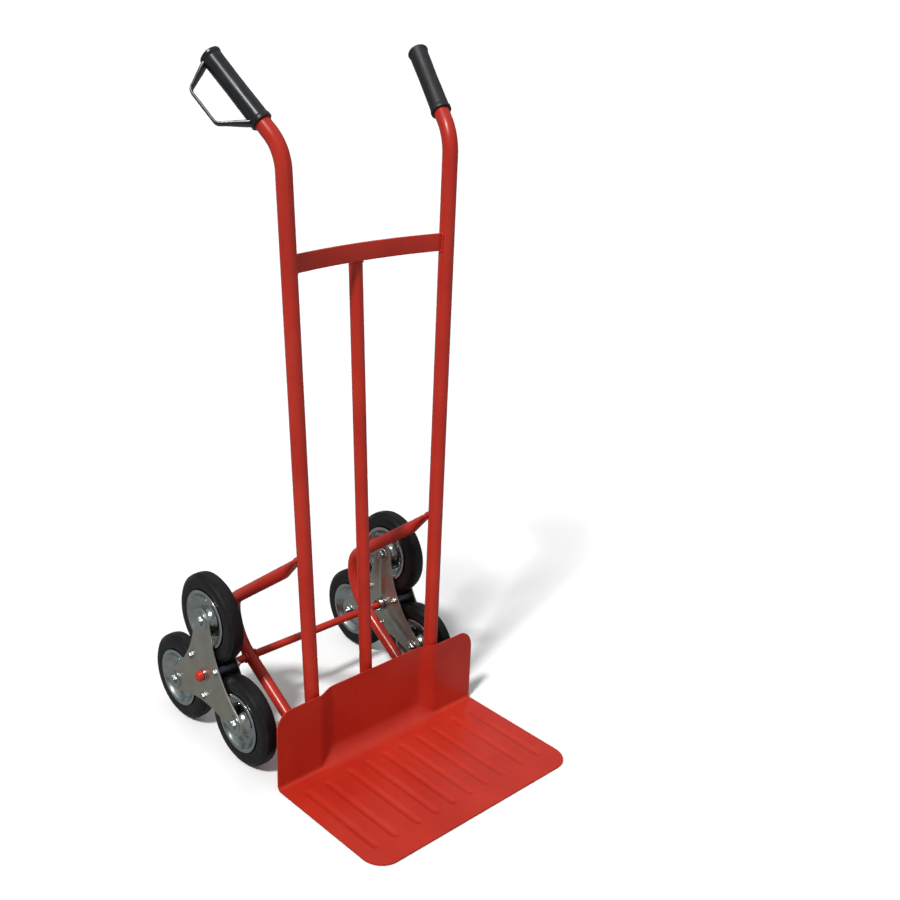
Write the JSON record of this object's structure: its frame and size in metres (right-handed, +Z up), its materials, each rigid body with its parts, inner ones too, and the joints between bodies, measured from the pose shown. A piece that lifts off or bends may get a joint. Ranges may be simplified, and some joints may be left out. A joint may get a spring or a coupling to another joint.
{
  "type": "stair climbing trolley",
  "caption": "Upright hand trolley with tube frame, bent toe plate, curved-back handles and three-wheel stair-climbing clusters on a through axle.",
  "frame": {"origin": "on the floor plane under the front face of the back plate's wings, midway between the uprights, on the toe plate's flat underside", "axes": "+X to the right seen from the front, -Y towards the toe, +Z up"},
  "size_m": [0.484, 0.6198, 1.1485],
  "materials": {
    "red_paint": "semi-gloss red paint",
    "zinc": "bright zinc plate",
    "tyre_rubber": "matte moulded rubber",
    "black_plastic": "moulded, low sheen",
    "nylon": "moulded"
  },
  "bodies": {
    "frame": {"upright_left": "red_paint", "grip_left": "black_plastic", "axle_loop_left": "red_paint", "axle_washer_left": "zinc", "axle_collar_left": "zinc", "axle_cap_left": "red_paint", "upright_right": "red_paint", "grip_right": "black_plastic", "axle_loop_right": "red_paint", "axle_washer_right": "zinc", "axle_collar_right": "zinc", "axle_cap_right": "red_paint", "centre_tube": "red_paint", "crossbar": "red_paint", "toe_plate": "red_paint", "axle": "red_paint"},
    "cluster_left": {"outer_plate_left": "zinc", "inner_plate_left": "zinc", "hub_sleeve_left": "black_plastic", "spacer_left_1": "black_plastic", "tie_bolt_left_1": "zinc", "wheel_bolt_left_1": "zinc", "spacer_left_2": "black_plastic", "tie_bolt_left_2": "zinc", "wheel_bolt_left_2": "zinc", "spacer_left_3": "black_plastic", "tie_bolt_left_3": "zinc", "wheel_bolt_left_3": "zinc"},
    "wheel_left_1": {"tyre_left_1": "tyre_rubber", "rim_left_1": "zinc", "bush_left_1": "nylon"},
    "wheel_left_2": {"tyre_left_2": "tyre_rubber", "rim_left_2": "zinc", "bush_left_2": "nylon"},
    "wheel_left_3": {"tyre_left_3": "tyre_rubber", "rim_left_3": "zinc", "bush_left_3": "nylon"},
    "cluster_right": {"outer_plate_right": "zinc", "inner_plate_right": "zinc", "hub_sleeve_right": "black_plastic", "spacer_right_1": "black_plastic", "tie_bolt_right_1": "zinc", "wheel_bolt_right_1": "zinc", "spacer_right_2": "black_plastic", "tie_bolt_right_2": "zinc", "wheel_bolt_right_2": "zinc", "spacer_right_3": "black_plastic", "tie_bolt_right_3": "zinc", "wheel_bolt_right_3": "zinc"},
    "wheel_right_1": {"tyre_right_1": "tyre_rubber", "rim_right_1": "zinc", "bush_right_1": "nylon"},
    "wheel_right_2": {"tyre_right_2": "tyre_rubber", "rim_right_2": "zinc", "bush_right_2": "nylon"},
    "wheel_right_3": {"tyre_right_3": "tyre_rubber", "rim_right_3": "zinc", "bush_right_3": "nylon"}
  },
  "joints": [
    {"name": "cluster_left_spin", "type": "hinge", "parent": "frame", "child": "cluster_left", "pos_m": [-0.01, 0.198, 0.133], "axis": [1, 0, 0], "continuous": true},
    {"name": "wheel_left_1_spin", "type": "hinge", "parent": "cluster_left", "child": "wheel_left_1", "pos_m": [-0.216, 0.198, 0.239], "axis": [1, 0, 0], "continuous": true},
    {"name": "wheel_left_2_spin", "type": "hinge", "parent": "cluster_left", "child": "wheel_left_2", "pos_m": [-0.216, 0.2898, 0.08], "axis": [1, 0, 0], "continuous": true},
    {"name": "wheel_left_3_spin", "type": "hinge", "parent": "cluster_left", "child": "wheel_left_3", "pos_m": [-0.216, 0.1062, 0.08], "axis": [1, 0, 0], "continuous": true},
    {"name": "cluster_right_spin", "type": "hinge", "parent": "frame", "child": "cluster_right", "pos_m": [-0.01, 0.198, 0.133], "axis": [1, 0, 0], "continuous": true},
    {"name": "wheel_right_1_spin", "type": "hinge", "parent": "cluster_right", "child": "wheel_right_1", "pos_m": [0.196, 0.198, 0.239], "axis": [1, 0, 0], "continuous": true},
    {"name": "wheel_right_2_spin", "type": "hinge", "parent": "cluster_right", "child": "wheel_right_2", "pos_m": [0.196, 0.2898, 0.08], "axis": [1, 0, 0], "continuous": true},
    {"name": "wheel_right_3_spin", "type": "hinge", "parent": "cluster_right", "child": "wheel_right_3", "pos_m": [0.196, 0.1062, 0.08], "axis": [1, 0, 0], "continuous": true}
  ]
}
